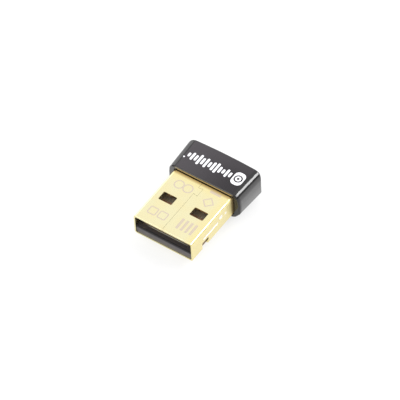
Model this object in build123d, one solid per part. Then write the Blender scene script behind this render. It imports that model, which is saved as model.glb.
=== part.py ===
"""A nano radio adapter: a folded metal plug with its circuit board in a plastic tray, and a moulded cap.

Sizes are millimetres. X runs across the plug, the plug points towards -Y, and +Z is up. The origin is
under the middle of the whole adapter, level with the cap's underside. Inside the plug, a depth is
measured from the mouth towards the cap, and a level is measured from the plug's centre line.
"""
from build123d import *
import os

# Folded shell: the sizes that a socket expects
PLUG_WIDTH = 12.0
PLUG_HEIGHT = 4.5
PLUG_REACH = 12.13
SHEET = 0.3
SHELL_BEND = 0.55
MOUTH_EDGE = 0.06
SHELL_SEAT = 3.0
SHELL_FIT = 0.05

# Four windows for the socket's springs, two above and two below
WINDOW_WIDTH = 2.72
WINDOW_LENGTH = 1.86
WINDOW_DEPTH = 5.2
WINDOW_SPREAD = 1.83
WINDOW_CORNER = 0.2

# Notches through the two lower bends, where the tray shows
NOTCH_DEPTH = 2.87
NOTCH_LENGTH = 1.84
NOTCH_TOP = -0.45
NOTCH_INSET = 0.6

# Seam where the two edges of the sheet meet, with one dovetail
SEAM_X = -0.12
SEAM_GAP = 0.03
TAIL_DEPTH = 9.2
TAIL_LENGTH = 1.8
TAIL_WIDTH = 0.85
TAIL_FLARE = 0.16

# Groove and two dimples pressed into each side wall
GROOVE_DEPTH = 3.35
GROOVE_LENGTH = 4.2
GROOVE_LEVEL = 0.3
GROOVE_WIDTH = 0.36
GROOVE_PRESS = 0.1
DIMPLE_DEPTH = 8.45
DIMPLE_LEVEL = 0.72
DIMPLE_WIDTH = 1.1
DIMPLE_PRESS = 0.16
SMALL_DIMPLE_DEPTH = 9.65
SMALL_DIMPLE_LEVEL = 0.6
SMALL_DIMPLE_WIDTH = 0.5
SMALL_DIMPLE_PRESS = 0.08

# Tray: a black moulding that carries the board and makes the tongue's front
TRAY_RECESS = 0.15
TRAY_FIT = 0.05
TRAY_FLOOR = 0.2
TRAY_LIP = 1.1
TRAY_LIP_DROP = 0.15
TRAY_SIDE = 0.5
TRAY_LEDGE = 0.5
TRAY_CHAMFER = 0.12

# Circuit board, from the tongue to the tail inside the cap
BOARD_THICKNESS = 0.8
BOARD_CORNER = 0.3
BOARD_FIT = 0.05
UNDER_BOARD_SPACE = 0.8
OVER_BOARD_SPACE = 1.8

# Contact pads on the tongue
PAD_WIDTH = 1.0
PAD_THICKNESS = 0.05
PAD_CORNER = 0.2
OUTER_PAD_X = 3.5
INNER_PAD_X = 1.0
OUTER_PAD_DEPTH = 1.5
INNER_PAD_DEPTH = 2.5
PAD_END = 6.4

# Cap: a hollow moulding, flat above, rounded like a hull below, a little wider and fuller behind
CAP_SIDE_WALL = 1.7
CAP_TOP_WALL = 0.68
CAP_BOTTOM_WALL = 1.62
CAP_REAR_WALL = 0.85
CAP_DEPTH = 7.05
CAP_FLARE = 0.35
CAP_BOW = 0.25
CAP_TOP_EDGE = 1.6
CAP_TOP_LEAN = 0.25
CAP_WAIST_LEVEL = 0.3
CAP_WAIST_EDGE = 12.0
CAP_FLANK_INSET = 0.1
CAP_FLANK_RISE = 0.7
CAP_FLANK_EDGE = 1.0
CAP_BILGE_INSET = 1.15
CAP_BILGE_DROP = 0.7
CAP_BILGE_EDGE = 1.5
CAP_REAR_DEEPENING = 0.2
CAP_KEEL_WIDTH = 7.2
CAP_KEEL_EDGE = 4.0
CAP_KEEL_TRIM = 0.02
CAP_REAR_CORNER = 1.2
CAP_REAR_RIM = 0.3
CAP_FRONT_RIM = 0.3
SOCKET_LEAD = 0.12
SOCKET_LEAD_DEPTH = 0.2

# Parts soldered under the board
PART_GAP = 1.0
CHIP_SIZE = 5.0
CHIP_HEIGHT = 0.65
CHIP_CHAMFER = 0.3
MEMORY_WIDTH = 3.0
MEMORY_LENGTH = 2.0
MEMORY_HEIGHT = 0.55

# Parts soldered on the board: a back is measured from the shell's rear end to the part's front,
# and a side gap from the nearer side of the board to the part's middle
CRYSTAL_WIDTH = 2.5
CRYSTAL_LENGTH = 3.2
CRYSTAL_HEIGHT = 0.7
CRYSTAL_LID_STEP = 0.2
CRYSTAL_SIDE_GAP = 2.7
CRYSTAL_BACK = 5.2
CRYSTAL_PART_GAP = 0.3
FILTER_WIDTH = 2.0
FILTER_LENGTH = 1.25
FILTER_HEIGHT = 0.7
FILTER_SIDE_GAP = 3.0
FILTER_BACK = 2.8
SMALL_CHIP_LENGTH = 1.0
SMALL_CHIP_WIDTH = 0.5
LARGE_CHIP_LENGTH = 1.6
LARGE_CHIP_WIDTH = 0.8
CHIP_END_LENGTH = 0.25
CHIP_END_PROUD = 0.02
FRONT_ROW_BACK = 6.3
REAR_ROW_BACK = 1.2
RESISTOR_SIDE_GAP = 4.5
RESISTOR_SPREAD = 0.45
CORE_CAPACITOR_SIDE_GAP = 1.3
SUPPLY_CAPACITOR_SIDE_GAP = 1.3
REGULATOR_CAPACITOR_SIDE_GAP = 2.7
INDUCTOR_SIDE_GAP = 3.0
AERIAL_CAPACITOR_SIDE_GAP = 1.9

# Folded copper aerial on the board's tail
AERIAL_WIDTH = 0.3
AERIAL_SIDE_GAP = 1.5
AERIAL_FOLDS = 7
AERIAL_THICKNESS = 0.05
AERIAL_LEDGE_GAP = 0.1
FEED_RISE = 0.27
FEED_GAP = 0.13

# Places that follow from the sizes above
CAP_WIDTH = PLUG_WIDTH + 2 * CAP_SIDE_WALL
CAP_HEIGHT = CAP_BOTTOM_WALL + PLUG_HEIGHT + CAP_TOP_WALL
CENTRE_Z = CAP_BOTTOM_WALL + PLUG_HEIGHT / 2
MOUTH_Y = -(PLUG_REACH + CAP_DEPTH) / 2
CAP_FRONT_Y = MOUTH_Y + PLUG_REACH
CAP_REAR_Y = CAP_FRONT_Y + CAP_DEPTH
SHELL_END = PLUG_REACH + SHELL_SEAT
INNER_WIDTH = PLUG_WIDTH - 2 * SHEET
INNER_LEVEL = PLUG_HEIGHT / 2 - SHEET
TRAY_FLOOR_LEVEL = -INNER_LEVEL + TRAY_FLOOR
TRAY_WIDTH = INNER_WIDTH - 2 * TRAY_FIT
BOARD_UNDER = TRAY_FLOOR_LEVEL + UNDER_BOARD_SPACE
BOARD_TOP = BOARD_UNDER + BOARD_THICKNESS
BOARD_WIDTH = TRAY_WIDTH - 2 * TRAY_SIDE - 2 * BOARD_FIT
BOARD_FRONT = TRAY_RECESS + TRAY_LIP + BOARD_FIT
BOARD_END = PLUG_REACH + CAP_DEPTH - CAP_REAR_WALL - BOARD_FIT
BOARD_SLOT_WIDTH = BOARD_WIDTH + 2 * BOARD_FIT
BOARD_LEFT = -BOARD_WIDTH / 2
BOARD_RIGHT = BOARD_WIDTH / 2
CRYSTAL_X = BOARD_LEFT + CRYSTAL_SIDE_GAP
RESISTOR_X = BOARD_RIGHT - RESISTOR_SIDE_GAP
INDUCTOR_X = BOARD_RIGHT - INDUCTOR_SIDE_GAP
AERIAL_SPAN = BOARD_WIDTH - 2 * AERIAL_SIDE_GAP
PART_SPACE_WIDTH = BOARD_WIDTH - 2 * TRAY_LEDGE
MEMORY_DEPTH = SHELL_END - TRAY_LEDGE - PART_GAP - MEMORY_LENGTH
CHIP_DEPTH = MEMORY_DEPTH - PART_GAP - CHIP_SIZE


def block(width, length, height, x, depth, level, corner=0.0):
    """A block centred on x that starts at a depth and stands on a level, its upright edges rounded."""
    place = Pos(x, MOUTH_Y + depth + length / 2, CENTRE_Z + level + height / 2)
    solid = Box(width, length, height)
    if corner > 0:
        solid = fillet(solid.edges().filter_by(Axis.Z), corner)
    return place * solid


def rounded_bar(width, height, corner, depth, length):
    """A bar along the plug with a rounded rectangular section, centred on the plug's centre line."""
    plane = Plane(origin=(0, MOUTH_Y + depth, CENTRE_Z), x_dir=(1, 0, 0), z_dir=(0, -1, 0))
    return extrude(plane * RectangleRounded(width, height, corner), amount=-length)


def both_sides(solid):
    """The solid and its mirror image on the other side of the plug."""
    return solid + mirror(solid, about=Plane.YZ)


def pressed_ball(depth, level, width, press, face_x):
    """A ball that dips into a side wall's face by its press, and is as wide there as asked."""
    radius = (width**2 / 4 + press**2) / (2 * press)
    return Pos(face_x + radius - press, MOUTH_Y + depth, CENTRE_Z + level) * Sphere(radius)


def pressed_rod(depth, level, length, width, press, face_x):
    """A rod along the plug, round at its ends, that dips into a side wall's face by its press."""
    radius = (width**2 / 4 + press**2) / (2 * press)
    first = depth + width / 2
    run = length - width
    centre_x = face_x + radius - press
    rod = Pos(centre_x, MOUTH_Y + first + run / 2, CENTRE_Z + level) * Rot(90, 0, 0) * Cylinder(radius, run)
    front = pressed_ball(first, level, width, press, face_x)
    return rod + front + pressed_ball(first + run, level, width, press, face_x)


def press_tools(face_x):
    """The groove's and the dimples' tools for one side wall, set against one face of the sheet."""
    groove = pressed_rod(GROOVE_DEPTH, GROOVE_LEVEL, GROOVE_LENGTH, GROOVE_WIDTH, GROOVE_PRESS, face_x)
    dimple = pressed_ball(DIMPLE_DEPTH, DIMPLE_LEVEL, DIMPLE_WIDTH, DIMPLE_PRESS, face_x)
    small = pressed_ball(
        SMALL_DIMPLE_DEPTH, SMALL_DIMPLE_LEVEL, SMALL_DIMPLE_WIDTH, SMALL_DIMPLE_PRESS, face_x
    )
    return groove + dimple + small


def seam_cut():
    """The slit between the sheet's two edges: straight, with one dovetail on its way to the cap."""
    tail_tip = SEAM_X + TAIL_WIDTH
    neck_start = TAIL_DEPTH + TAIL_FLARE
    neck_end = TAIL_DEPTH + TAIL_LENGTH - TAIL_FLARE
    route = [
        (SEAM_X, -SHEET),
        (SEAM_X, neck_start),
        (tail_tip, TAIL_DEPTH),
        (tail_tip, TAIL_DEPTH + TAIL_LENGTH),
        (SEAM_X, neck_end),
        (SEAM_X, SHELL_END + SHEET),
    ]
    slit = trace(Polyline(*route), SEAM_GAP)
    level = INNER_LEVEL - SHEET
    return extrude(Pos(0, MOUTH_Y, CENTRE_Z + level) * slit, amount=3 * SHEET)


def make_plug_shell():
    """One strip of sheet folded round into a flat tube, pierced, notched and pressed before folding."""
    outer = rounded_bar(PLUG_WIDTH, PLUG_HEIGHT, SHELL_BEND, 0, SHELL_END)
    mouth = outer.faces().sort_by(Axis.Y)[0]
    outer = fillet(mouth.edges(), MOUTH_EDGE)
    bore_length = SHELL_END + 2 * SHEET
    bore = rounded_bar(INNER_WIDTH, 2 * INNER_LEVEL, SHELL_BEND - SHEET, -SHEET, bore_length)
    shell = outer - bore

    window_x = WINDOW_SPREAD + WINDOW_WIDTH / 2
    window = block(
        WINDOW_WIDTH, WINDOW_LENGTH, 2 * PLUG_HEIGHT, window_x, WINDOW_DEPTH, -PLUG_HEIGHT, WINDOW_CORNER
    )
    shell -= both_sides(window)

    notch_width = NOTCH_INSET + SHEET
    notch_x = PLUG_WIDTH / 2 - NOTCH_INSET + notch_width / 2
    notch = block(notch_width, NOTCH_LENGTH, PLUG_HEIGHT, notch_x, NOTCH_DEPTH, NOTCH_TOP - PLUG_HEIGHT)
    shell -= both_sides(notch)

    # Pressed marks: the sheet keeps its thickness, so what dips outside stands proud inside
    inner_face = INNER_WIDTH / 2
    behind_face = block(INNER_WIDTH / 2, SHELL_END, PLUG_HEIGHT, inner_face / 2, 0, -PLUG_HEIGHT / 2)
    shell += both_sides(press_tools(inner_face) & behind_face)
    shell -= both_sides(press_tools(PLUG_WIDTH / 2))
    return shell - seam_cut()


def make_board_tray():
    """The tray that fills the lower half of the mouth, with a front lip, side walls and board ledges."""
    length = SHELL_END - TRAY_FIT - TRAY_RECESS
    tray = block(TRAY_WIDTH, length, INNER_LEVEL + BOARD_TOP, 0, TRAY_RECESS, -INNER_LEVEL)
    lower = tray.edges().filter_by(Axis.Y).group_by(Axis.Z)[0]
    tray = chamfer(lower, SHELL_BEND - SHEET)
    tray -= block(TRAY_WIDTH, TRAY_LIP, TRAY_LIP_DROP, 0, TRAY_RECESS, BOARD_TOP - TRAY_LIP_DROP)
    front = tray.faces().filter_by(Axis.Y).sort_by(Axis.Y)[0]
    tray = chamfer(front.edges().filter_by(Axis.X).sort_by(Axis.Z)[-1], TRAY_CHAMFER)

    # The slot for the board runs out behind, and the space under it stops short to leave a rear ledge
    slot_front = BOARD_FRONT - BOARD_FIT
    tray -= block(BOARD_SLOT_WIDTH, SHELL_END, BOARD_THICKNESS, 0, slot_front, BOARD_UNDER)
    space_front = BOARD_FRONT + TRAY_LEDGE
    space_length = SHELL_END - TRAY_LEDGE - space_front
    return tray - block(PART_SPACE_WIDTH, space_length, UNDER_BOARD_SPACE, 0, space_front, TRAY_FLOOR_LEVEL)


def make_circuit_board():
    """The board: it lies in the tray with its tail in the cap."""
    length = BOARD_END - BOARD_FRONT
    return block(BOARD_WIDTH, length, BOARD_THICKNESS, 0, BOARD_FRONT, BOARD_UNDER, BOARD_CORNER)


def make_pad(x, depth):
    """One gold-plated contact pad on the tongue."""
    return block(PAD_WIDTH, PAD_END - depth, PAD_THICKNESS, x, depth, BOARD_TOP, PAD_CORNER)


def make_radio_chip():
    """The radio chip, flat under the board, with one corner cut to mark its first pin."""
    chip = block(CHIP_SIZE, CHIP_SIZE, CHIP_HEIGHT, 0, CHIP_DEPTH, BOARD_UNDER - CHIP_HEIGHT)
    marked = chip.edges().filter_by(Axis.Z).sort_by(Axis.X)[:2].sort_by(Axis.Y)[0]
    return chamfer(marked, CHIP_CHAMFER)


def make_memory_chip():
    """The small memory chip, under the board behind the radio chip."""
    level = BOARD_UNDER - MEMORY_HEIGHT
    return block(MEMORY_WIDTH, MEMORY_LENGTH, MEMORY_HEIGHT, 0, MEMORY_DEPTH, level)


def make_timing_crystal():
    """The crystal: a ceramic boat with a smaller metal lid."""
    half = CRYSTAL_HEIGHT / 2
    depth = SHELL_END - CRYSTAL_BACK
    boat = block(CRYSTAL_WIDTH, CRYSTAL_LENGTH, half, CRYSTAL_X, depth, BOARD_TOP)
    lid_width = CRYSTAL_WIDTH - 2 * CRYSTAL_LID_STEP
    lid_length = CRYSTAL_LENGTH - 2 * CRYSTAL_LID_STEP
    lid_depth = depth + CRYSTAL_LID_STEP
    lid = block(lid_width, lid_length, half, CRYSTAL_X, lid_depth, BOARD_TOP + half, CRYSTAL_LID_STEP)
    return boat + lid


def make_antenna_filter():
    """The ceramic filter between the radio chip and the aerial."""
    depth = SHELL_END - FILTER_BACK
    x = BOARD_RIGHT - FILTER_SIDE_GAP
    return block(FILTER_WIDTH, FILTER_LENGTH, FILTER_HEIGHT, x, depth, BOARD_TOP)


def make_chip_part(x, back, length, width):
    """A ceramic chip part along the board: a square body with a slightly proud metal end at each end."""
    depth = SHELL_END - back
    body_width = width - 2 * CHIP_END_PROUD
    part = block(body_width, length, body_width, x, depth, BOARD_TOP + CHIP_END_PROUD)
    for end in (depth, depth + length - CHIP_END_LENGTH):
        part += block(width, CHIP_END_LENGTH, width, x, end, BOARD_TOP)
    return part


def make_small_part(x, back):
    """A chip part of the smaller size."""
    return make_chip_part(x, back, SMALL_CHIP_LENGTH, SMALL_CHIP_WIDTH)


def make_crystal_capacitor(side):
    """One of the two capacitors that stand beside the crystal."""
    reach = (CRYSTAL_WIDTH + SMALL_CHIP_WIDTH) / 2 + CRYSTAL_PART_GAP
    back = CRYSTAL_BACK - (CRYSTAL_LENGTH - SMALL_CHIP_LENGTH) / 2
    return make_small_part(CRYSTAL_X + side * reach, back)


def make_aerial():
    """The aerial: one copper line, fed behind the inductor, that folds back and forth across the tail."""
    start = SHELL_END - REAR_ROW_BACK + SMALL_CHIP_LENGTH
    feed = start + FEED_RISE
    near = feed + AERIAL_WIDTH + FEED_GAP
    far = BOARD_END - TRAY_LEDGE - AERIAL_LEDGE_GAP - AERIAL_WIDTH / 2
    right = AERIAL_SPAN / 2
    route = [(INDUCTOR_X, start), (INDUCTOR_X, feed), (right, feed)]
    for fold in range(AERIAL_FOLDS):
        x = right - fold * AERIAL_SPAN / AERIAL_FOLDS
        turn = far if fold % 2 == 0 else near
        route.append((x, turn))
        route.append((x - AERIAL_SPAN / AERIAL_FOLDS, turn))
    line = trace(Polyline(*route), AERIAL_WIDTH)
    return extrude(Pos(0, MOUTH_Y, CENTRE_Z + BOARD_TOP) * line, amount=AERIAL_THICKNESS)


def cap_section(half_width, deepening, y):
    """The cap's outline: flat top, bulging sides, rounded flanks and bilges, and a keel still untrimmed."""
    top = PLUG_HEIGHT / 2 + CAP_TOP_WALL
    keel = -PLUG_HEIGHT / 2 - CAP_BOTTOM_WALL - CAP_KEEL_TRIM
    flank = CAP_FLANK_RISE - PLUG_HEIGHT / 2 - deepening
    bilge = -PLUG_HEIGHT / 2 - CAP_BILGE_DROP - deepening
    corners = {
        (half_width - CAP_TOP_LEAN, top): CAP_TOP_EDGE,
        (half_width, CAP_WAIST_LEVEL): CAP_WAIST_EDGE,
        (half_width - CAP_FLANK_INSET, flank): CAP_FLANK_EDGE,
        (half_width - CAP_BILGE_INSET, bilge): CAP_BILGE_EDGE,
        (CAP_KEEL_WIDTH / 2, keel): CAP_KEEL_EDGE,
    }
    right = list(corners)
    left = [(-x, z) for x, z in reversed(right)]
    radii = list(corners.values())
    outline = FilletPolyline(*right, *left, radius=radii + radii[::-1], close=True)
    plane = Plane(origin=(0, y, CENTRE_Z), x_dir=(1, 0, 0), z_dir=(0, -1, 0))
    return make_face(plane * outline)


def cap_plan():
    """The cap's outline from above: straight in front, bowed behind, its two rear corners rounded."""
    half = CAP_WIDTH / 2
    corner_y = CAP_REAR_Y - CAP_BOW
    bow = ThreePointArc((half, corner_y), (0, CAP_REAR_Y), (-half, corner_y))
    sides = Polyline((-half, corner_y), (-half, CAP_FRONT_Y), (half, CAP_FRONT_Y), (half, corner_y))
    plan = make_face(sides + bow)
    return fillet(plan.vertices().group_by(Axis.Y)[-1], CAP_REAR_CORNER)


def rear_rim(body):
    """The edges where the cap's bowed rear and its two rounded corners meet the top, sides and keel."""
    back = [
        face
        for face in body.faces()
        if face.center().Y > CAP_REAR_Y - CAP_BOW - CAP_REAR_CORNER and abs(face.normal_at().Z) < 0.01
    ]
    rim = []
    for face in back:
        others = [edge for other in back if other is not face for edge in other.edges()]
        rim += [edge for edge in face.edges() if not any(edge.is_same(other) for other in others)]
    return rim


def make_cap():
    """The cap: one hollow moulding with a socket for the shell and slots for the board's tail."""
    rear_half = CAP_WIDTH / 2
    front_section = cap_section(rear_half - CAP_FLARE, 0, CAP_FRONT_Y)
    rear_section = cap_section(rear_half, CAP_REAR_DEEPENING, CAP_REAR_Y)
    hull = loft([front_section, rear_section], ruled=True)
    cap = hull & extrude(cap_plan(), amount=CAP_HEIGHT)
    cap = fillet(rear_rim(cap), CAP_REAR_RIM)
    cap = fillet(cap.faces().sort_by(Axis.Y)[0].edges(), CAP_FRONT_RIM)

    socket_width = PLUG_WIDTH + 2 * SHELL_FIT
    socket_height = PLUG_HEIGHT + 2 * SHELL_FIT
    socket_corner = SHELL_BEND + SHELL_FIT
    cap -= rounded_bar(socket_width, socket_height, socket_corner, 0, SHELL_END)

    # A shallow step lets the shell in: it shows as a dark line round the plug
    cap -= rounded_bar(
        socket_width + 2 * SOCKET_LEAD,
        socket_height + 2 * SOCKET_LEAD,
        socket_corner + SOCKET_LEAD,
        0,
        PLUG_REACH + SOCKET_LEAD_DEPTH,
    )

    # The board's tail lies in a slot, with room for parts above and below it
    cap -= block(BOARD_SLOT_WIDTH, BOARD_END + BOARD_FIT, BOARD_THICKNESS, 0, 0, BOARD_UNDER)
    space_height = UNDER_BOARD_SPACE + BOARD_THICKNESS + OVER_BOARD_SPACE
    return cap - block(PART_SPACE_WIDTH, BOARD_END - TRAY_LEDGE, space_height, 0, 0, TRAY_FLOOR_LEVEL)


NODES = {
    "cap": make_cap(),
    "plug_shell": make_plug_shell(),
    "board_tray": make_board_tray(),
    "circuit_board": make_circuit_board(),
    "ground_contact": make_pad(-OUTER_PAD_X, OUTER_PAD_DEPTH),
    "data_plus_contact": make_pad(-INNER_PAD_X, INNER_PAD_DEPTH),
    "data_minus_contact": make_pad(INNER_PAD_X, INNER_PAD_DEPTH),
    "power_contact": make_pad(OUTER_PAD_X, OUTER_PAD_DEPTH),
    "radio_chip": make_radio_chip(),
    "memory_chip": make_memory_chip(),
    "timing_crystal": make_timing_crystal(),
    "crystal_capacitor_left": make_crystal_capacitor(-1),
    "crystal_capacitor_right": make_crystal_capacitor(1),
    "supply_capacitor": make_chip_part(
        BOARD_RIGHT - SUPPLY_CAPACITOR_SIDE_GAP, FRONT_ROW_BACK, LARGE_CHIP_LENGTH, LARGE_CHIP_WIDTH
    ),
    "regulator_capacitor": make_small_part(BOARD_RIGHT - REGULATOR_CAPACITOR_SIDE_GAP, FRONT_ROW_BACK),
    "core_capacitor": make_small_part(BOARD_RIGHT - CORE_CAPACITOR_SIDE_GAP, FILTER_BACK),
    "data_plus_resistor": make_small_part(RESISTOR_X - RESISTOR_SPREAD, FRONT_ROW_BACK),
    "data_minus_resistor": make_small_part(RESISTOR_X + RESISTOR_SPREAD, FRONT_ROW_BACK),
    "antenna_filter": make_antenna_filter(),
    "antenna_inductor": make_small_part(INDUCTOR_X, REAR_ROW_BACK),
    "antenna_capacitor": make_small_part(BOARD_RIGHT - AERIAL_CAPACITOR_SIDE_GAP, REAR_ROW_BACK),
    "antenna_trace": make_aerial(),
}

os.makedirs("parts", exist_ok=True)
for name, solid in NODES.items():
    export_step(solid, f"parts/{name}.step")
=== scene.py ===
import math
from functools import reduce

import bmesh
import bpy
from mathutils import Matrix, Vector


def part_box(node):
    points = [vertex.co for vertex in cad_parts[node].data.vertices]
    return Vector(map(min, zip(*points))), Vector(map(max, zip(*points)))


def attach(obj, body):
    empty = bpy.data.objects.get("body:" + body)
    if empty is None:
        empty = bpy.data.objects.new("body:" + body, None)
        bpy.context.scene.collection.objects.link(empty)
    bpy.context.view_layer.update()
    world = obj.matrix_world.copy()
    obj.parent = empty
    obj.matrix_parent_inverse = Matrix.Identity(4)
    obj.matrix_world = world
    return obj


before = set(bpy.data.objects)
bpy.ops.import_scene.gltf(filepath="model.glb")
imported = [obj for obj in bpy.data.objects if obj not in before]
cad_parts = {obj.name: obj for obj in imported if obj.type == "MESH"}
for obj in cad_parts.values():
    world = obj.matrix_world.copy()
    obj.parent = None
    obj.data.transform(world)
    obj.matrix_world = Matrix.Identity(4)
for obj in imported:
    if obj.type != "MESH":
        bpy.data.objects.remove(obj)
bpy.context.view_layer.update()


# Folded shell
# One strip of steel sheet, pierced and pressed flat, folded into a tube and locked by a dovetail on top. Its
# pale gold plating keeps fine rolling lines. Painted shade deepens the gold towards the cap and along the
# right edge and browns it next to the cap, and painted highlights whiten the pressed spots. Plain outlines
# and bars are burnt faintly into its top.

MM = 0.001


class Wire:
    """A shader socket that takes part in sums: each sum adds a Math node to the same material."""

    def __init__(self, tree, socket=None):
        self.tree = tree
        self.socket = socket

    def node(self, kind, settings=None, inputs=None, output=0):
        """Adds a node: its settings are set first, then each input is linked or given its value."""
        made = self.tree.nodes.new(kind)
        for name, value in (settings or {}).items():
            setattr(made, name, value)
        for name, value in (inputs or {}).items():
            if isinstance(value, Wire):
                self.tree.links.new(value.socket, made.inputs[name])
            else:
                made.inputs[name].default_value = value
        return Wire(self.tree, made.outputs[output]) if made.outputs else None

    def maths(self, operation, *others):
        inputs = dict(enumerate((self, *others)))
        return self.node("ShaderNodeMath", {"operation": operation}, inputs)

    def __add__(self, other):
        return self.maths("ADD", other)

    def __sub__(self, other):
        return self.maths("SUBTRACT", other)

    def __mul__(self, other):
        return self.maths("MULTIPLY", other)

    def __rsub__(self, other):
        return self.node("ShaderNodeMath", {"operation": "SUBTRACT"}, {0: other, 1: self})

    __radd__ = __add__
    __rmul__ = __mul__

    def squared(self):
        return self.maths("POWER", 2)

    def smallest(self, other):
        return self.maths("MINIMUM", other)

    def largest(self, other):
        return self.maths("MAXIMUM", other)

    def size(self):
        return self.maths("ABSOLUTE")

    def fade(self, start, end):
        """1 up to start, 0 from end on, with a smooth change between."""
        settings = {"interpolation_type": "SMOOTHSTEP"}
        return self.node("ShaderNodeMapRange", settings, {0: self, 1: start, 2: end, 3: 1.0, 4: 0.0})

    def rise(self, start, end):
        """0 up to start, 1 from end on, with a smooth change between."""
        return self.fade(end, start)

    def blend(self, low, high):
        """The colour low where this is 0 and the colour high where it is 1."""
        first, second, mixed = 6, 7, 2  # the Mix node's sockets for colours
        low, high = ((*colour, 1) if isinstance(colour, tuple) else colour for colour in (low, high))
        inputs = {0: self, first: low, second: high}
        return self.node("ShaderNodeMix", {"data_type": "RGBA"}, inputs, mixed)

    def parts(self):
        """The three numbers of a place or a direction."""
        split = self.node("ShaderNodeSeparateXYZ", inputs={0: self})
        return (Wire(self.tree, socket) for socket in split.socket.node.outputs)


class Finish:
    """A material under way: its place on the piece in millimetres, and the shader that its values go to."""

    def __init__(self, name):
        self.material = bpy.data.materials.new(name)
        self.material.use_nodes = True
        tree = self.material.node_tree
        self.shader = next(n for n in tree.nodes if n.type == "BSDF_PRINCIPLED")
        metres = Wire(tree).node("ShaderNodeTexCoord", output="Object")
        scaling = {0: metres, "Scale": 1 / MM}
        self.place = metres.node("ShaderNodeVectorMath", {"operation": "SCALE"}, scaling)
        self.x, self.y, self.z = self.place.parts()

    def noise(self, scale, stretch=(1, 1, 1), detail=2.0, roughness=0.5):
        """Noise from about 0 to 1, with scale cells to the millimetre, stretched along each axis."""
        stretching = {0: self.place, 1: stretch}
        place = self.place.node("ShaderNodeVectorMath", {"operation": "MULTIPLY"}, stretching)
        inputs = {"Vector": place, "Scale": scale, "Detail": detail, "Roughness": roughness}
        return place.node("ShaderNodeTexNoise", inputs=inputs)

    def bump(self, height, strength, depth_mm):
        inputs = {"Strength": strength, "Distance": depth_mm * MM, "Height": height}
        self.set("Normal", height.node("ShaderNodeBump", inputs=inputs))

    def set(self, name, value):
        socket = self.shader.inputs[name]
        if isinstance(value, Wire):
            value.tree.links.new(value.socket, socket)
        else:
            socket.default_value = (*value, 1) if isinstance(value, tuple) else value


def wear(material, node):
    """Gives a CAD node its one material."""
    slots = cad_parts[node].data.materials
    slots.clear()
    slots.append(material)


def low_and_high(node):
    """The lowest and the highest corner of a CAD node, in millimetres."""
    return (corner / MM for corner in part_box(node))


def box_distance(finish, centre, half, round_by=0.0):
    """How far a point of the top lies outside a rectangle, in millimetres; it is negative inside."""
    across = (finish.x - centre[0]).size() - (half[0] - round_by)
    along = (finish.y - centre[1]).size() - (half[1] - round_by)
    outside = across.largest(0).squared() + along.largest(0).squared()
    return outside.maths("SQRT") + across.largest(along).smallest(0) - round_by


def point_distance(finish, point):
    """How far a point of the top or the underside lies from another, in millimetres."""
    return ((finish.x - point[0]).squared() + (finish.y - point[1]).squared()).maths("SQRT")


SHELL_LOW, SHELL_HIGH = low_and_high("plug_shell")
SHELL_TOP = SHELL_HIGH.z
SHELL_MIDDLE = (SHELL_LOW.z + SHELL_HIGH.z) / 2
SHELL_SIDE = SHELL_HIGH.x - 0.35
MOUTH = SHELL_LOW.y
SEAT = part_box("cap")[0].y / MM

MARK_LINE = 0.13
MARK_STRENGTH = 0.8
MARK_RINGS = ((-3.3, MOUTH + 9.7), (-1.5, MOUTH + 9.7))
MARK_RING_RADIUS = 0.85
MARK_TILES = ((-3.75, MOUTH + 2.6), (-1.75, MOUTH + 2.6))
MARK_TILE_HALF = (0.75, 0.75)
MARK_TILE_CORNER = 0.25
MARK_DIAMOND = (3.1, MOUTH + 9.07)
MARK_DIAMOND_REACH = 1.0
MARK_BARS = [(1.7 + 0.9 * step, MOUTH + 2.75) for step in range(4)]
MARK_BAR_HALF = (MARK_LINE, 1.1)
MARK_PLATE = (3.1, MOUTH + 11.3)
MARK_PLATE_HALF = (1.0, 0.17)


def burnt_marks(finish):
    """Two rings, two tiles and a diamond in outline, and four bars and a plate, all burnt into the top."""
    rings = [(point_distance(finish, middle) - MARK_RING_RADIUS).size() for middle in MARK_RINGS]
    tiles = [box_distance(finish, middle, MARK_TILE_HALF, MARK_TILE_CORNER).size() for middle in MARK_TILES]
    slant = (finish.x - MARK_DIAMOND[0]).size() + (finish.y - MARK_DIAMOND[1]).size()
    diamond = ((slant - MARK_DIAMOND_REACH) * math.sqrt(0.5)).size()
    bars = [box_distance(finish, middle, MARK_BAR_HALF).largest(0) for middle in MARK_BARS]
    plate = box_distance(finish, MARK_PLATE, MARK_PLATE_HALF).largest(0)
    nearest = reduce(Wire.smallest, (*rings, *tiles, diamond, *bars, plate))
    on_top = finish.z.rise(SHELL_TOP - 0.03, SHELL_TOP - 0.01)
    return nearest.fade(MARK_LINE * 0.6, MARK_LINE * 1.2) * on_top


def on_sides(finish):
    """1 on the two flat sides of the shell, 0 on its top and its folds."""
    return finish.x.size().rise(SHELL_SIDE, SHELL_SIDE + 0.05)


GROOVE_MIDDLE = (MOUTH + 5.45, SHELL_MIDDLE + 0.29)
GROOVE_HALF_LENGTH = 2.0
GROOVE_EDGE = (0.14, 0.26)
DIMPLE_MIDDLE = (MOUTH + 8.55, SHELL_MIDDLE + 0.76)
DIMPLE_EDGE = (0.346, 0.529)
SMALL_DIMPLE_MIDDLE = (MOUTH + 9.95, SHELL_MIDDLE + 0.5)
SMALL_DIMPLE_EDGE = (0.173, 0.3)


def pressed_spots(finish):
    """The groove and the dimples of both sides, where a painted highlight whitens the gold."""
    along = (finish.y - GROOVE_MIDDLE[0]).size() - GROOVE_HALF_LENGTH
    spots = (finish.z - GROOVE_MIDDLE[1]).size().largest(along).fade(*GROOVE_EDGE)
    dimples = ((DIMPLE_MIDDLE, DIMPLE_EDGE), (SMALL_DIMPLE_MIDDLE, SMALL_DIMPLE_EDGE))
    for middle, (inner, outer) in dimples:
        away_squared = (finish.y - middle[0]).squared() + (finish.z - middle[1]).squared()
        spots = spots.largest(away_squared.fade(inner**2, outer**2))
    return spots * on_sides(finish)


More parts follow.
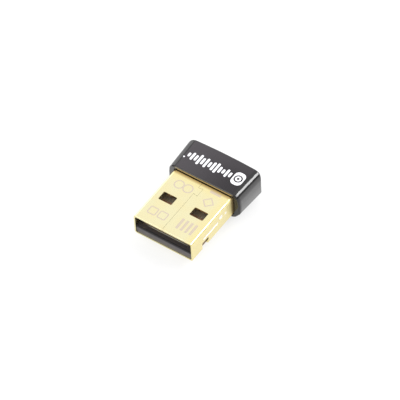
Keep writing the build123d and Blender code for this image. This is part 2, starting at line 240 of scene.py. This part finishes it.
PALE_GOLD = (0.82, 0.765, 0.485)
WARM_GOLD = (0.83, 0.75, 0.45)
SHADED_GOLD = (0.86, 0.755, 0.39)
BURNT_GREY = (0.66, 0.55, 0.47)
GROOVE_HIGHLIGHT = (0.93, 0.91, 0.86)
SEAT_SHADE_BROWN = (0.52, 0.38, 0.16)
SEAT_SHADE_GOLD = (0.66, 0.5, 0.22)
SEAT_SHADE_OLIVE = (0.56, 0.43, 0.2)
GOLD_SHADE_FROM_SIDE = (3.8, 5.8)
GOLD_SHADE_FROM = (SEAT - 2.6, SEAT - 0.6)
HELD_FROM = (SEAT - 2.6, SEAT - 1.2)
BROWN_FROM = (SEAT - 0.9, SEAT - 0.35)
OLIVE_FROM = (SEAT - 0.6, SEAT - 0.45)
SEATED_FROM = (SEAT - 0.32, SEAT - 0.18)
RUBBED_TO = (MOUTH + 1.0, MOUTH + 7.0)
WINDOW_MIDDLES = ((3.19, MOUTH + 6.13), (-3.19, MOUTH + 6.13))
WINDOW_HALF = (1.36, 0.93)
WINDOW_CORNER = 0.2
WINDOW_ROLL = 0.14


def gilt_sheet():
    """Bright pale gold plating over rolled sheet, a little warmer in patches and rubbed near the mouth."""
    finish = Finish("gilt_sheet")
    patches = finish.noise(scale=0.35, detail=3.0).rise(0.35, 0.7)
    # Painted shade: the gold is deeper towards the cap and along the right edge.
    gold_shade = finish.y.rise(*GOLD_SHADE_FROM).largest(finish.x.rise(*GOLD_SHADE_FROM_SIDE))
    gold = gold_shade.blend(patches.blend(PALE_GOLD, WARM_GOLD), SHADED_GOLD)
    marks = burnt_marks(finish)
    marked = (marks * MARK_STRENGTH).blend(gold, BURNT_GREY)
    pressed = pressed_spots(finish)
    # Painted highlight: the groove and the dimples are painted near white.
    nickel = pressed.blend(marked, GROOVE_HIGHLIGHT)
    on_top = finish.z.rise(SHELL_TOP - 0.1, SHELL_TOP - 0.03)
    # Painted shade next to the cap: browner on the top, a darker gold just before the cap and a darker olive
    # on the sides.
    cap_shaded = (finish.y.rise(*BROWN_FROM) * on_top).blend(nickel, SEAT_SHADE_BROWN)
    seat_shaded = finish.y.rise(*SEATED_FROM).blend(cap_shaded, SEAT_SHADE_GOLD)
    beside = finish.y.rise(*OLIVE_FROM) * on_sides(finish)
    finish.set("Base Color", beside.blend(seat_shaded, SEAT_SHADE_OLIVE))

    rolling = finish.noise(scale=1.0, stretch=(26, 1.3, 26), detail=3.0)
    lengthwise = finish.noise(scale=1.0, stretch=(9, 0.35, 9), detail=2.0)
    scratches = lengthwise.rise(0.62, 0.7) * finish.y.fade(*RUBBED_TO)
    held = on_sides(finish) * finish.y.rise(*HELD_FROM)
    rough = rolling * 0.06 + scratches * 0.1 + marks * 0.1 + pressed * 0.3 + held * 0.42
    finish.set("Roughness", rough + 0.09)
    finish.set("Metallic", 1.0)

    windows = [box_distance(finish, middle, WINDOW_HALF, WINDOW_CORNER) for middle in WINDOW_MIDDLES]
    rollover = reduce(Wire.smallest, windows).rise(0.0, WINDOW_ROLL)
    height = rolling * 0.05 + finish.noise(scale=0.5) * 0.4 + rollover - scratches * 0.05
    finish.bump(height, strength=0.6, depth_mm=0.012)
    return finish.material


wear(gilt_sheet(), "plug_shell")


# Board tray
# A matt black moulding of glass-filled plastic, which fills the lower half of the mouth, holds the board from
# three sides and shows behind the notches, where a painted reflection of the gold shell browns its sides. Its
# front is painted a lighter grey as painted light, with painted shade on its upper part and a painted
# highlight along the lip's top, and its sills behind the windows are painted a paler brown.

TRAY_BLACK = (0.056, 0.05, 0.055)
TRAY_FRONT_LIGHT = (0.127, 0.109, 0.113)
TRAY_LIP_HIGHLIGHT = (0.62, 0.62, 0.58)
TRAY_SIDE_GOLD_REFLECTION = (0.17, 0.095, 0.045)
TRAY_SILL_BROWN = (0.42, 0.36, 0.28)
LIP_SHADE_BLACK = (0.028, 0.026, 0.027)
LIP_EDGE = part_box("board_tray")[0].z / MM + 1.2
LIP_SPREAD = 0.12
FRONT_DEPTH = (MOUTH + 0.15, MOUTH + 0.5)
LIP_DEPTH = (MOUTH + 0.3, MOUTH + 0.35)
LIP_HIGHLIGHT_LINE = MOUTH + 1.13
LIP_HIGHLIGHT_HALF = (0.02, 0.1)
LIP_HIGHLIGHT_REACH = (2.5, 5.0)
NOTCH_MIDDLE = MOUTH + 3.8
NOTCH_HALF = (1.2, 1.4)
TRAY_SIDE = (5.1, 5.3)
SILL_MIDDLE = MOUTH + 7.6
SILL_HALF = (1.1, 1.4)
SILL_SIDE = (4.95, 5.1)
SILL_LEVEL = (SHELL_MIDDLE - 0.3, SHELL_MIDDLE - 0.2)


def matt_moulding():
    """Matt black moulding with a spark-eroded grain, its front painted a lighter grey as painted light and a
    painted highlight along the lip's top.
    """
    finish = Finish("matt_moulding")
    from_middle = finish.x.size()
    grain = finish.noise(scale=14.0, detail=4.0, roughness=0.65)
    cloud = finish.noise(scale=0.8, detail=2.0)
    # Painted light: the front is painted a lighter, patchy grey.
    rubbed = finish.y.fade(*FRONT_DEPTH) * cloud
    # Painted highlight: a pale line along the lip's top, strongest in the middle.
    lip_highlight = (finish.y - LIP_HIGHLIGHT_LINE).size().fade(*LIP_HIGHLIGHT_HALF) * from_middle.fade(*LIP_HIGHLIGHT_REACH)
    black = lip_highlight.blend(rubbed.blend(TRAY_BLACK, TRAY_FRONT_LIGHT), TRAY_LIP_HIGHLIGHT)
    # The sills behind the windows are painted a paler brown.
    lightened = (finish.y - SILL_MIDDLE).size().fade(*SILL_HALF) * from_middle.rise(*SILL_SIDE)
    moulded = (lightened * finish.z.rise(*SILL_LEVEL)).blend(black, TRAY_SILL_BROWN)
    # Painted reflection: the sides behind the notches are browned by a painted reflection of the gold shell.
    by_notch = (finish.y - NOTCH_MIDDLE).size().fade(*NOTCH_HALF) * from_middle.rise(*TRAY_SIDE)
    side = by_notch * finish.z.fade(SHELL_MIDDLE - 0.3, SHELL_MIDDLE)
    # Painted shade: the upper part of the front is painted near black and metallic.
    shaded_lip = finish.y.fade(*LIP_DEPTH) * finish.z.rise(LIP_EDGE - LIP_SPREAD, LIP_EDGE + LIP_SPREAD)
    finish.set("Base Color", shaded_lip.blend(side.blend(moulded, TRAY_SIDE_GOLD_REFLECTION), LIP_SHADE_BLACK))
    finish.set("Metallic", shaded_lip)
    finish.set("Roughness", grain * 0.2 + 0.34)
    finish.bump(grain, strength=0.35, depth_mm=0.01)
    return finish.material


wear(matt_moulding(), "board_tray")


# Circuit board
# Glass cloth and epoxy under a thin brown solder resist, with a painted red reflection on it towards the
# mouth. It is routed from a panel, so its edges show pale layers of cloth. It slides into the tray from
# behind, and its tail lies in the cap.

BOARD_LOW, BOARD_HIGH = low_and_high("circuit_board")
RESIST_BROWN = (0.4, 0.35, 0.29)
RESIST_REFLECTED_RED = (0.6, 0.28, 0.16)
RED_TO = (MOUTH + 6.85, MOUTH + 7.35)
TRACK_BROWN = (0.5, 0.43, 0.34)
TRACK_PITCH = 0.45
TRACK_CELL = (TRACK_PITCH, 0.9, 9.0)
LAMINATE = (0.36, 0.31, 0.17)
LAMINATE_SHADE = (0.2, 0.17, 0.09)
LAYER_PITCH = 0.1 * math.tau
FACE_DEPTH = (0.01, 0.03)


def stacked_layers(finish, pitch):
    """From 0 to 1 and back over each pitch of a piece's height."""
    return (finish.z * (math.tau / pitch)).maths("SINE") * 0.5 + 0.5


def laminate():
    """Solder resist over copper tracks on both faces, and bare layers of cloth on the edges."""
    finish = Finish("board_laminate")
    snapping = {0: finish.place, 1: TRACK_CELL}
    cells = finish.place.node("ShaderNodeVectorMath", {"operation": "SNAP"}, snapping)
    routes = cells.node("ShaderNodeTexWhiteNoise", {"noise_dimensions": "3D"}, {"Vector": cells})
    lines = (finish.x * (1 / TRACK_PITCH)).maths("FRACT")
    track = lines.fade(0.35, 0.45) * routes.rise(0.45, 0.5)
    # Painted reflection: the resist is painted redder towards the mouth.
    face = track.blend(finish.y.fade(*RED_TO).blend(RESIST_BROWN, RESIST_REFLECTED_RED), TRACK_BROWN)
    edge = (stacked_layers(finish, LAYER_PITCH) * 0.6).blend(LAMINATE, LAMINATE_SHADE)
    thin, thick = FACE_DEPTH
    above = finish.z.rise(BOARD_LOW.z + thin, BOARD_LOW.z + thick)
    inside = above * finish.z.fade(BOARD_HIGH.z - thick, BOARD_HIGH.z - thin)
    weave = finish.noise(scale=2.2, detail=1.0)
    finish.set("Base Color", inside.blend(face, edge))
    finish.set("Roughness", weave * 0.15 + inside * 0.35 + 0.3)
    finish.bump(track + weave * 0.3, strength=0.4, depth_mm=0.02)
    return finish.material


wear(laminate(), "circuit_board")


# Contacts
# Four copper pads on the tongue, plated with nickel and hard gold. A socket's springs have wiped fine lines
# along the middle of each, short of its rear end.

PAD_GOLD = (0.95, 0.76, 0.38)
WIPED_GOLD = (0.9, 0.82, 0.6)
WIPED_HALF = (0.12, 0.3)
WIPED_TO = (1.5, 0.6)
CONTACTS = ("ground_contact", "data_plus_contact", "data_minus_contact", "power_contact")


def wiped_gold(node):
    """Bright gold with the lines that a socket's spring wipes along the pad's middle."""
    low, high = low_and_high(node)
    finish = Finish(node + "_gold")
    middle = (finish.x - (low.x + high.x) / 2).size()
    streaks = finish.noise(scale=1.0, stretch=(18, 0.5, 18), detail=2.0)
    path = middle.fade(*WIPED_HALF) * finish.y.fade(high.y - WIPED_TO[0], high.y - WIPED_TO[1])
    wiped = path * streaks.rise(0.4, 0.6)
    finish.set("Base Color", wiped.blend(PAD_GOLD, WIPED_GOLD))
    finish.set("Roughness", streaks * 0.1 + wiped * 0.12 + 0.12)
    finish.set("Metallic", 1.0)
    finish.bump(streaks, strength=0.2, depth_mm=0.004)
    return finish.material


for contact in CONTACTS:
    wear(wiped_gold(contact), contact)


# Chips under the board
# The radio chip and the small memory chip: black filled resin moulded round the silicon, matt from the mould,
# with a polished pit by the first pin.

RESIN = (0.022, 0.022, 0.024)
RESIN_GLINT = (0.05, 0.05, 0.052)
PIT_RADIUS = 0.22
PIT_EDGE = 0.02
PIT_INSET = 0.75


def resin(node):
    """Matt resin with a glassy speckle of filler and one round pit under a corner."""
    low, _ = low_and_high(node)
    finish = Finish(node + "_resin")
    filler = finish.noise(scale=16.0, detail=3.0, roughness=0.7)
    away = point_distance(finish, (low.x + PIT_INSET, low.y + PIT_INSET))
    underneath = finish.z.fade(low.z + 0.02, low.z + 0.04)
    pit = away.fade(PIT_RADIUS - PIT_EDGE, PIT_RADIUS + PIT_EDGE) * underneath
    finish.set("Base Color", filler.rise(0.55, 0.75).blend(RESIN, RESIN_GLINT))
    finish.set("Roughness", filler * 0.15 + pit * -0.25 + 0.42)
    finish.bump(filler * 0.3 - pit, strength=0.5, depth_mm=0.02)
    return finish.material


for chip in ("radio_chip", "memory_chip"):
    wear(resin(chip), chip)


# Timing crystal
# A boat of dark fired ceramic with a thin nickel lid welded over it, which is brushed along its short side.
# It is soldered on top of the board.

CRYSTAL_LOW, CRYSTAL_HIGH = low_and_high("timing_crystal")
LID_FROM = (CRYSTAL_LOW.z + CRYSTAL_HIGH.z) / 2
BOAT = (0.14, 0.11, 0.09)
LID = (0.72, 0.7, 0.66)


def crystal_can():
    """Dark fired ceramic below and a brushed nickel lid above."""
    finish = Finish("crystal_can")
    lid = finish.z.rise(LID_FROM - 0.01, LID_FROM + 0.01)
    brushed = finish.noise(scale=1.0, stretch=(3, 30, 3), detail=2.0)
    finish.set("Base Color", lid.blend(BOAT, LID))
    finish.set("Metallic", lid)
    finish.set("Roughness", 0.55 - lid * 0.3 + brushed * 0.12)
    finish.bump(brushed, strength=0.3, depth_mm=0.006)
    return finish.material


wear(crystal_can(), "timing_crystal")


# Chip capacitors, resistors and the inductor
# Small fired blocks with tinned ends, soldered flat: tan ceramic for the capacitors, black glaze for the
# resistors and pale blue ferrite for the inductor.

TIN = (0.66, 0.66, 0.64)
END_LENGTH = 0.25
BODY_SHADE = 0.8
TAN_CERAMIC = (0.42, 0.3, 0.19)
BLACK_GLAZE = (0.02, 0.02, 0.022)
BLOCKS = {
    "crystal_capacitor_left": TAN_CERAMIC,
    "crystal_capacitor_right": TAN_CERAMIC,
    "supply_capacitor": (0.36, 0.25, 0.16),
    "regulator_capacitor": (0.4, 0.28, 0.17),
    "core_capacitor": TAN_CERAMIC,
    "antenna_capacitor": (0.44, 0.34, 0.22),
    "data_plus_resistor": BLACK_GLAZE,
    "data_minus_resistor": BLACK_GLAZE,
    "antenna_inductor": (0.32, 0.38, 0.42),
}


def tinned_block(node, colour):
    """A fired body between two tinned ends."""
    low, high = low_and_high(node)
    finish = Finish(node + "_block")
    body_half = (high.y - low.y) / 2 - END_LENGTH
    tinned = (finish.y - (low.y + high.y) / 2).size().rise(body_half - 0.01, body_half)
    grain = finish.noise(scale=9.0, detail=3.0)
    body = grain.blend(colour, tuple(BODY_SHADE * part for part in colour))
    finish.set("Base Color", tinned.blend(body, TIN))
    finish.set("Metallic", tinned)
    finish.set("Roughness", grain * 0.2 + tinned * -0.1 + 0.35)
    finish.bump(grain, strength=0.3, depth_mm=0.01)
    return finish.material


for block, colour in BLOCKS.items():
    wear(tinned_block(block, colour), block)


# Antenna filter
# A pale block of stacked ceramic with a dark stripe printed across it for its first end. It is soldered on
# top of the board, between the radio chip and the aerial.

FILTER_LOW, FILTER_HIGH = low_and_high("antenna_filter")
FILTER_WHITE = (0.74, 0.72, 0.66)
FILTER_SHADE = (0.5, 0.48, 0.42)
FILTER_STRIPE = (0.12, 0.11, 0.1)
FILTER_LAYER_PITCH = math.tau / 60
STRIPE_MIDDLE = FILTER_LOW.x + 0.35
STRIPE_HALF = (0.1, 0.13)


def stacked_ceramic():
    """Pale ceramic with faint layers on its sides and one stripe on top."""
    finish = Finish("stacked_ceramic")
    grain = finish.noise(scale=10.0, detail=3.0)
    body = (stacked_layers(finish, FILTER_LAYER_PITCH) * 0.25).blend(FILTER_WHITE, FILTER_SHADE)
    on_top = finish.z.rise(FILTER_HIGH.z - 0.02, FILTER_HIGH.z - 0.01)
    stripe = (finish.x - STRIPE_MIDDLE).size().fade(*STRIPE_HALF) * on_top
    finish.set("Base Color", stripe.blend(body, FILTER_STRIPE))
    finish.set("Roughness", grain * 0.2 + 0.45)
    finish.bump(grain, strength=0.3, depth_mm=0.01)
    return finish.material


wear(stacked_ceramic(), "antenna_filter")


# Folded aerial
# A thin copper line on the board's tail, under a clear brown resist like the board's own, so that it shows as
# dull copper.

AERIAL_BRIGHT = (0.2, 0.14, 0.06)
AERIAL_DULL = (0.1, 0.1, 0.04)


def coated_copper():
    """Copper seen through resist, with a slightly uneven coat."""
    finish = Finish("coated_copper")
    coat = finish.noise(scale=3.0, detail=2.0)
    finish.set("Base Color", coat.blend(AERIAL_BRIGHT, AERIAL_DULL))
    finish.set("Roughness", coat * 0.15 + 0.28)
    finish.set("Coat Weight", 0.4)
    finish.bump(coat, strength=0.2, depth_mm=0.008)
    return finish.material


wear(coated_copper(), "antenna_trace")


# Cap
# One moulding of black plastic, satin on its flat top and polished on its sides, front and rear. A painted
# sheen lightens its top towards the left and the rear, and a painted reflection of the gold shell lies on its
# front over the plug. The shell is pressed into its socket, and nothing else holds it.

CAP_LOW, CAP_HIGH = low_and_high("cap")
CAP_TOP = CAP_HIGH.z
CAP_FRONT = CAP_LOW.y
PIANO_BLACK = (0.012, 0.011, 0.012)
TOP_LIT_LEFT = (0.042, 0.036, 0.042)
TOP_SHADED_RIGHT = (0.004, 0.001, 0.004)
SATIN_FROM = (CAP_TOP - 0.02, CAP_TOP - 0.003)
SHEEN_ACROSS = (-6.5, 6.5)
SHEEN_REAR = (CAP_FRONT + 3.5, CAP_FRONT + 6.0)
DUST_GREY = (0.4, 0.4, 0.4)
RIM_GOLD_REFLECTION = (0.36, 0.31, 0.22)
RIM_DEPTH = (CAP_FRONT + 0.3, CAP_FRONT + 0.8)
REFLECTION_HALF = (5.6, 6.2)
REFLECTION_FROM = (CAP_TOP - 0.42, CAP_TOP - 0.34)
REFLECTION_TO = (CAP_TOP - 0.14, CAP_TOP - 0.08)
LEFT_CORNER = (-6.3, -5.9)
LEFT_CORNER_TO = (CAP_TOP - 0.4, CAP_TOP - 0.3)
SIDES_FROM = (-6.8, -5.6)
SIDES_TO = (CAP_TOP - 0.17, CAP_TOP - 0.11)


def polished_cap():
    """Piano black with a satin top, a very slight orange peel and a few specks of dust, with a painted sheen
    on the top and a painted gold reflection on the front over the plug.
    """
    finish = Finish("polished_cap")
    top = finish.z.rise(*SATIN_FROM)
    grain = finish.noise(scale=18.0, detail=3.0, roughness=0.6)
    peel = finish.noise(scale=0.9, detail=2.0)
    dust = finish.noise(scale=5.0, detail=1.0).rise(0.76, 0.8)
    # Painted sheen: the top is painted lighter towards the left and the rear.
    top_shade = finish.x.rise(*SHEEN_ACROSS) * (1 - finish.y.rise(*SHEEN_REAR) * 0.45)
    black = top.blend(PIANO_BLACK, top_shade.blend(TOP_LIT_LEFT, TOP_SHADED_RIGHT))
    lightened = (dust * 0.12).blend(black, DUST_GREY)
    front = finish.y.fade(*RIM_DEPTH)
    # Painted reflection: a band of the front over the plug is painted gold and metallic.
    over_plug = front * finish.x.size().fade(*REFLECTION_HALF) * finish.z.rise(*REFLECTION_FROM)
    gold_reflection = over_plug * finish.z.fade(*REFLECTION_TO)
    left_corner = front * finish.x.fade(*LEFT_CORNER) * finish.z.fade(*LEFT_CORNER_TO)
    sides = (1 - front) * finish.x.rise(*SIDES_FROM) * finish.z.fade(*SIDES_TO)
    finish.set("Coat Weight", (1 - top) * left_corner.largest(sides))
    finish.set("Metallic", gold_reflection)
    finish.set("Base Color", gold_reflection.blend(lightened, RIM_GOLD_REFLECTION))
    finish.set("Roughness", top * 0.2 + grain * 0.04 + dust * 0.1 + 0.06)
    finish.bump(peel * 0.5 + top * grain * 0.5, strength=0.12, depth_mm=0.01)
    return finish.material


wear(polished_cap(), "cap")


# Print on the cap
# White ink, pad-printed on the satin top in one pass and about a hundredth of a millimetre thick: a row of
# strokes like a sound's level with a dot beside it, and a tile with a ring and a dot left open in it.

INK_THICKNESS = 0.012
INK_WHITE = (0.9, 0.9, 0.92)
INK_THIN = (0.82, 0.82, 0.86)
STROKE_HALF_WIDTH = 0.22
STROKE_PITCH = 0.7
STROKE_HEIGHTS = (0.9, 1.7, 1.3, 2.3, 1.5, 2.1, 1.2, 1.9, 2.3, 1.4, 1.0, 1.8, 1.1)
STROKES_FROM = (-5.25, CAP_FRONT + 3.5)
ROUND_END = 0.98
DOT_PLACE = (-5.8, CAP_FRONT + 2.66)
DOT_RADIUS = 0.17
TILE_MIDDLE = (4.8, CAP_FRONT + 3.48)
TILE_HALF = (1.05, 1.42)
TILE_CORNER = 0.85
RING_RADIUS = 0.68
RING_LINE = 0.26
RING_DOT = 0.24
RING_STEPS = 40
DOT_SEGMENTS = 32
CORNER_SEGMENTS = 8


def ink():
    """White ink, slightly uneven in cover, with a soft tooth."""
    finish = Finish("white_ink")
    tooth = finish.noise(scale=12.0, detail=3.0)
    finish.set("Base Color", tooth.blend(INK_WHITE, INK_THIN))
    finish.set("Roughness", tooth * 0.15 + 0.4)
    finish.bump(tooth, strength=0.2, depth_mm=0.006)
    return finish.material


WHITE_INK = ink()


def new_piece(name, maker, material):
    """Makes a bmesh into an object with one material."""
    mesh = bpy.data.meshes.new(name)
    maker.to_mesh(mesh)
    maker.free()
    mesh.materials.append(material)
    piece = bpy.data.objects.new(name, mesh)
    bpy.context.scene.collection.objects.link(piece)
    return piece


def flat_outline(maker, centre, half, corner):
    """A flat rectangle with rounded corners at the cap's top, in millimetres."""
    signs = [(-1, -1), (1, -1), (1, 1), (-1, 1)]
    places = [(centre[0] + sx * half[0], centre[1] + sy * half[1], CAP_TOP) for sx, sy in signs]
    verts = [maker.verts.new(Vector(place) * MM) for place in places]
    maker.faces.new(verts)
    rounding = {"segments": CORNER_SEGMENTS, "profile": 0.5, "affect": "VERTICES", "material": -1}
    bmesh.ops.bevel(maker, geom=verts, offset=corner * MM, **rounding)


def raise_outlines(maker, thickness):
    """Draws every flat face up to a closed plate."""
    raised = bmesh.ops.extrude_face_region(maker, geom=maker.faces[:])
    lifted = [v for v in raised["geom"] if isinstance(v, bmesh.types.BMVert)]
    bmesh.ops.translate(maker, verts=lifted, vec=(0, 0, thickness * MM))
    bmesh.ops.recalc_face_normals(maker, faces=maker.faces)


def level_strokes():
    """The row of round-ended strokes, and the dot beside it."""
    maker = bmesh.new()
    for step, height in enumerate(STROKE_HEIGHTS):
        centre = (STROKES_FROM[0] + step * STROKE_PITCH, STROKES_FROM[1])
        flat_outline(maker, centre, (STROKE_HALF_WIDTH, height / 2), STROKE_HALF_WIDTH * ROUND_END)
    flat_outline(maker, DOT_PLACE, (DOT_RADIUS, DOT_RADIUS), DOT_RADIUS * ROUND_END)
    raise_outlines(maker, INK_THICKNESS)
    return new_piece("printed_strokes", maker, WHITE_INK)


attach(level_strokes(), "root")


def ring_cutter():
    """A ring and a dot, tall enough to cut through the tile's ink."""
    maker = bmesh.new()
    rim = [(RING_RADIUS + side * RING_LINE / 2, 0, 0) for side in (-1, 1)]
    verts = [maker.verts.new(Vector(place) * MM) for place in rim]
    turned = [*verts, maker.edges.new(verts)]
    upright = {"axis": (0, 0, 1), "cent": (0, 0, 0)}
    bmesh.ops.spin(maker, geom=turned, angle=math.tau, steps=RING_STEPS, use_merge=True, **upright)
    bmesh.ops.create_circle(maker, cap_ends=True, segments=DOT_SEGMENTS, radius=RING_DOT * MM)
    raise_outlines(maker, 4 * INK_THICKNESS)
    below = Vector((*TILE_MIDDLE, CAP_TOP - 2 * INK_THICKNESS)) * MM
    bmesh.ops.translate(maker, verts=maker.verts, vec=below)
    return new_piece("ring_cutter", maker, WHITE_INK)


def badge_tile():
    """A white tile, with a ring and a dot cut out of it."""
    maker = bmesh.new()
    flat_outline(maker, TILE_MIDDLE, TILE_HALF, TILE_CORNER)
    raise_outlines(maker, INK_THICKNESS)
    tile = new_piece("printed_tile", maker, WHITE_INK)
    cutter = ring_cutter()
    cut = tile.modifiers.new("open_ring", "BOOLEAN")
    cut.object = cutter
    cut.operation = "DIFFERENCE"
    cut.solver = "EXACT"
    bpy.context.view_layer.update()
    whole = tile.evaluated_get(bpy.context.evaluated_depsgraph_get())
    carved = bpy.data.meshes.new_from_object(whole)
    tile.modifiers.clear()
    tile.data = carved
    bpy.data.objects.remove(cutter)
    return tile


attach(badge_tile(), "root")


# Floor
# A plain white table, wide enough that its edge shows from no side, and lit a little from within so that it
# stays white in the adapter's shadow.

FLOOR_HALF = 3.0
FLOOR_WHITE = (0.25, 0.25, 0.25)
FLOOR_FLECK = (0.27, 0.27, 0.27)
FLOOR_GLOW = 0.72


def table():
    """The table's top, just under the cap's keel."""
    maker = bmesh.new()
    bmesh.ops.create_grid(maker, x_segments=1, y_segments=1, size=FLOOR_HALF)
    finish = Finish("white_table")
    finish.set("Base Color", finish.noise(scale=0.2).blend(FLOOR_WHITE, FLOOR_FLECK))
    finish.set("Roughness", 0.9)
    finish.set("Emission Color", (1.0, 1.0, 1.0))
    finish.set("Emission Strength", FLOOR_GLOW)
    return new_piece("table", maker, finish.material)


table()


# Light
# A white tent lights the adapter from all round, dimmer low down and in front. At the right it is bright low
# down and dark above. A long narrow soft box stands high behind on the right, with two faint ones, one low at
# the left and behind and one high in front.

LEFT_BOX = {"towards": (-0.80, 0.52, 0.22), "away": 0.5, "size": (0.5, 0.32), "radiance": 1.2}
FRONT_BOX = {"towards": (-0.386, -0.507, 0.771), "away": 0.5, "size": (0.3, 0.3), "radiance": 2.2}
RIGHT_BOX = {"towards": (0.51, 0.507, 0.695), "away": 0.5, "size": (0.5, 0.15), "radiance": 7.2}


def soft_box(name, towards, away, size, radiance):
    """A rectangular light that faces the origin from a direction, at a distance in metres."""
    lamp = bpy.data.lights.new(name, "AREA")
    lamp.shape = "RECTANGLE"
    lamp.size, lamp.size_y = size
    lamp.energy = radiance * math.pi * size[0] * size[1]
    held = bpy.data.objects.new(name, lamp)
    way = Vector(towards).normalized()
    turn = way.to_track_quat("Z", "Y").to_matrix().to_4x4()
    held.matrix_world = Matrix.Translation(way * away) @ turn
    held.visible_camera = False
    bpy.context.scene.collection.objects.link(held)


soft_box("left_box", **LEFT_BOX)
soft_box("right_box", **RIGHT_BOX)
soft_box("front_box", **FRONT_BOX)

TENT_LOW = 0.35
TENT_MORE_HIGH = 0.45
TENT_MORE_BEHIND = 0.35
TENT_RIGHT_LOW = 1.15
TENT_RIGHT_LESS_HIGH = 0.85
TENT_SEEN = 1.1
TENT_RIGHT_FROM = (0.55, 0.7)
TENT_DARK_FROM = (0.2, 0.28)


def tent():
    """The tent's walls by height and side, and plain white where the camera sees past the table."""
    world = bpy.data.worlds.new("tent")
    bpy.context.scene.world = world
    world.use_nodes = True
    tree = world.node_tree
    tree.nodes.clear()
    wire = Wire(tree)
    x, y, z = wire.node("ShaderNodeTexCoord", output="Generated").parts()
    high = z.rise(0.0, 0.6)
    behind = y.rise(-0.6, 0.2)
    walls = TENT_LOW + high * TENT_MORE_HIGH + high * behind * TENT_MORE_BEHIND
    right = x.rise(*TENT_RIGHT_FROM)
    right_wall = TENT_RIGHT_LOW - z.rise(*TENT_DARK_FROM) * TENT_RIGHT_LESS_HIGH
    seen = wire.node("ShaderNodeLightPath", output="Is Camera Ray")
    strength = (walls * (1 - right) + right * right_wall).largest(seen * TENT_SEEN)
    background = wire.node("ShaderNodeBackground", inputs={"Color": (1, 1, 1, 1), "Strength": strength})
    wire.node("ShaderNodeOutputWorld", inputs={"Surface": background})


tent()
bpy.context.scene.view_settings.view_transform = "Standard"


# Camera
# A long lens 0.6 m away, which looks down past the right front corner of the plug and is rolled a little.

CAMERA_AZIMUTH = math.radians(37.314)
CAMERA_ELEVATION = math.radians(50.401)
CAMERA_ROLL = math.radians(-3.628)
CAMERA_AWAY = 0.6
CAMERA_AIM = Vector((0.495, 0.646, 3.889)) * MM
CAMERA_LENS = 318.35
CAMERA_SENSOR = 36.0
CAMERA_NEAR = 0.01


def place_camera():
    """The camera's axes from its azimuth, elevation and roll."""
    lens = bpy.data.cameras.new("camera")
    lens.lens = CAMERA_LENS
    lens.sensor_width = CAMERA_SENSOR
    lens.clip_start = CAMERA_NEAR
    held = bpy.data.objects.new("camera", lens)
    side, rise, roll = CAMERA_AZIMUTH, CAMERA_ELEVATION, CAMERA_ROLL
    back = Vector((math.sin(side) * math.cos(rise), -math.cos(side) * math.cos(rise), math.sin(rise)))
    level = Vector((math.cos(side), math.sin(side), 0))
    above = back.cross(level)
    right = level * math.cos(roll) + above * math.sin(roll)
    up = above * math.cos(roll) - level * math.sin(roll)
    turn = Matrix((right, up, back)).transposed().to_4x4()
    held.matrix_world = Matrix.Translation(CAMERA_AIM + back * CAMERA_AWAY) @ turn
    bpy.context.scene.collection.objects.link(held)
    bpy.context.scene.camera = held


place_camera()
